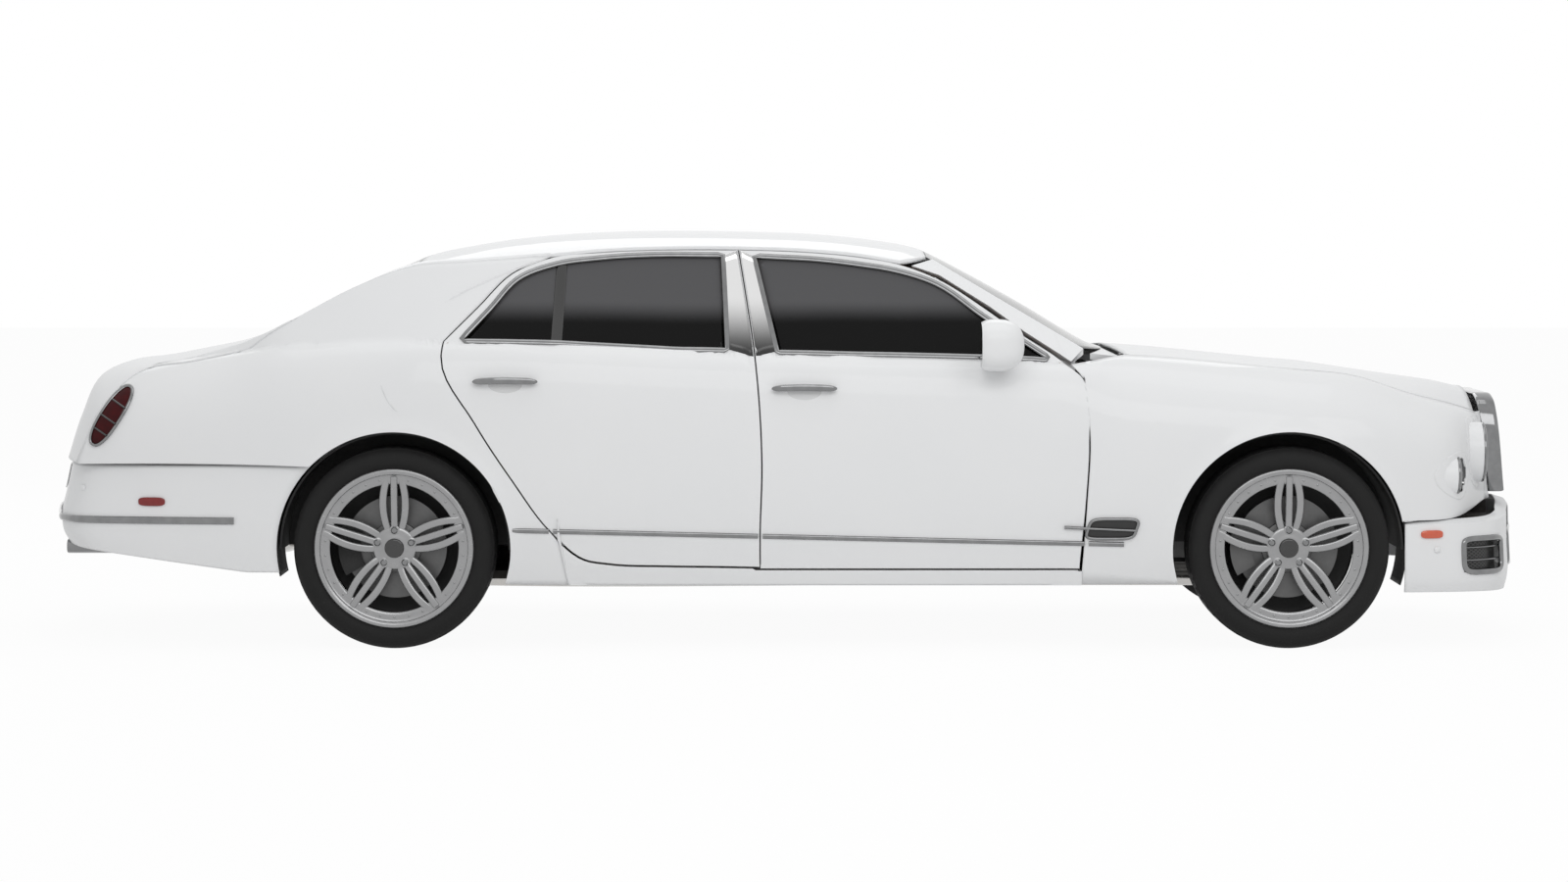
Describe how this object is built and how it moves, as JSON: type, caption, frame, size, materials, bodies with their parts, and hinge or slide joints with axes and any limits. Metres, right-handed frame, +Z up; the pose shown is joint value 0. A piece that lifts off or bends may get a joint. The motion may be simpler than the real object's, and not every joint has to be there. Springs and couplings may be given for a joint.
{
  "type": "luxury sedan",
  "caption": "Long three-box saloon with an upright lattice grille, round lamps, hinged doors and lids, steered front wheels and a furnished cabin.",
  "frame": {"origin": "on the ground, at the middle of the body's length and width", "axes": "+X forward along the car, +Y to its left, +Z up"},
  "size_m": [5.5748, 2.2204, 1.5211],
  "materials": {
    "paint": "gloss white",
    "chrome": "bright",
    "glass": "dark tint",
    "lamp_clear": "clear",
    "lamp_red": "gloss",
    "tyre": "matte",
    "rim": "silver lacquer",
    "chassis": "dark",
    "iron": "rough",
    "plastic": "matte",
    "leather": "soft",
    "exhaust": "satin"
  },
  "bodies": {
    "body": {"floor_pan": "chassis", "side_frame_left": "paint", "side_frame_right": "paint", "roof": "paint", "cowl": "plastic", "windscreen": "glass", "rear_window": "glass", "quarter_left": "paint", "quarter_right": "paint", "wing_left": "paint", "wing_right": "paint", "front_bumper": "paint", "rear_bumper": "paint", "grille": "chrome", "headlamps": "lamp_clear", "tail_lamps": "lamp_red", "wing_vents": "chrome", "wheelhouses": "plastic", "engine_block": "iron", "front_subframe": "chassis", "rear_subframe": "chassis", "exhaust": "exhaust", "dashboard": "plastic", "front_seats": "leather", "rear_seat": "leather", "hinge_leaves": "chassis"},
    "bonnet": {"bonnet": "paint"},
    "boot_lid": {"boot_lid": "paint"},
    "steering_wheel": {"steering_wheel": "plastic"},
    "front_door_left": {"front_door_left": "paint", "front_glass_left": "glass", "front_hardware_left": "chrome", "mirror_left": "paint"},
    "rear_door_left": {"rear_door_left": "paint", "rear_glass_left": "glass", "rear_hardware_left": "chrome"},
    "front_door_right": {"front_door_right": "paint", "front_glass_right": "glass", "front_hardware_right": "chrome", "mirror_right": "paint"},
    "rear_door_right": {"rear_door_right": "paint", "rear_glass_right": "glass", "rear_hardware_right": "chrome"},
    "knuckle_left": {"knuckle_left": "iron"},
    "knuckle_right": {"knuckle_right": "iron"},
    "wheel_front_left": {"tyre_front_left": "tyre", "rim_front_left": "rim"},
    "wheel_front_right": {"tyre_front_right": "tyre", "rim_front_right": "rim"},
    "wheel_rear_left": {"tyre_rear_left": "tyre", "rim_rear_left": "rim"},
    "wheel_rear_right": {"tyre_rear_right": "tyre", "rim_rear_right": "rim"}
  },
  "joints": [
    {"name": "bonnet_hinge", "type": "hinge", "parent": "body", "child": "bonnet", "pos_m": [1.25314, 0, 1.0656], "axis": [0, -1, 0], "range_deg": [0, 55]},
    {"name": "boot_hinge", "type": "hinge", "parent": "body", "child": "boot_lid", "pos_m": [-1.96076, 0, 1.12191], "axis": [0, 1, 0], "range_deg": [0, 75]},
    {"name": "front_door_left_hinge", "type": "hinge", "parent": "body", "child": "front_door_left", "pos_m": [1.00902, 0.93638, 0.6], "axis": [0, 0, -1], "range_deg": [0, 65]},
    {"name": "rear_door_left_hinge", "type": "hinge", "parent": "body", "child": "rear_door_left", "pos_m": [-0.18453, 0.93901, 0.6], "axis": [0, 0, -1], "range_deg": [0, 65]},
    {"name": "front_door_right_hinge", "type": "hinge", "parent": "body", "child": "front_door_right", "pos_m": [1.00902, -0.93638, 0.6], "axis": [0, 0, 1], "range_deg": [0, 65]},
    {"name": "rear_door_right_hinge", "type": "hinge", "parent": "body", "child": "rear_door_right", "pos_m": [-0.18453, -0.93901, 0.6], "axis": [0, 0, 1], "range_deg": [0, 65]},
    {"name": "steer_left", "type": "hinge", "parent": "body", "child": "knuckle_left", "pos_m": [1.8455, 0.77, 0.369], "axis": [0, 0, 1], "range_deg": [-33, 33]},
    {"name": "steer_right", "type": "hinge", "parent": "body", "child": "knuckle_right", "pos_m": [1.8455, -0.77, 0.369], "axis": [0, 0, 1], "range_deg": [-33, 33]},
    {"name": "steering_column", "type": "hinge", "parent": "body", "child": "steering_wheel", "pos_m": [0.91355, 0.38, 0.88979], "axis": [-0.9135, 0, 0.4067], "range_deg": [-470, 470]},
    {"name": "wheel_front_left_spin", "type": "hinge", "parent": "knuckle_left", "child": "wheel_front_left", "pos_m": [1.8455, 0.81, 0.369], "axis": [0, 1, 0], "continuous": true},
    {"name": "wheel_front_right_spin", "type": "hinge", "parent": "knuckle_right", "child": "wheel_front_right", "pos_m": [1.8455, -0.81, 0.369], "axis": [0, 1, 0], "continuous": true},
    {"name": "wheel_rear_left_spin", "type": "hinge", "parent": "body", "child": "wheel_rear_left", "pos_m": [-1.4245, 0.81, 0.369], "axis": [0, 1, 0], "continuous": true},
    {"name": "wheel_rear_right_spin", "type": "hinge", "parent": "body", "child": "wheel_rear_right", "pos_m": [-1.4245, -0.81, 0.369], "axis": [0, 1, 0], "continuous": true}
  ],
  "couplings": [
    {"joint": "steer_right", "follows": "steer_left", "ratio": 1},
    {"joint": "steering_column", "follows": "steer_left", "ratio": 14}
  ]
}
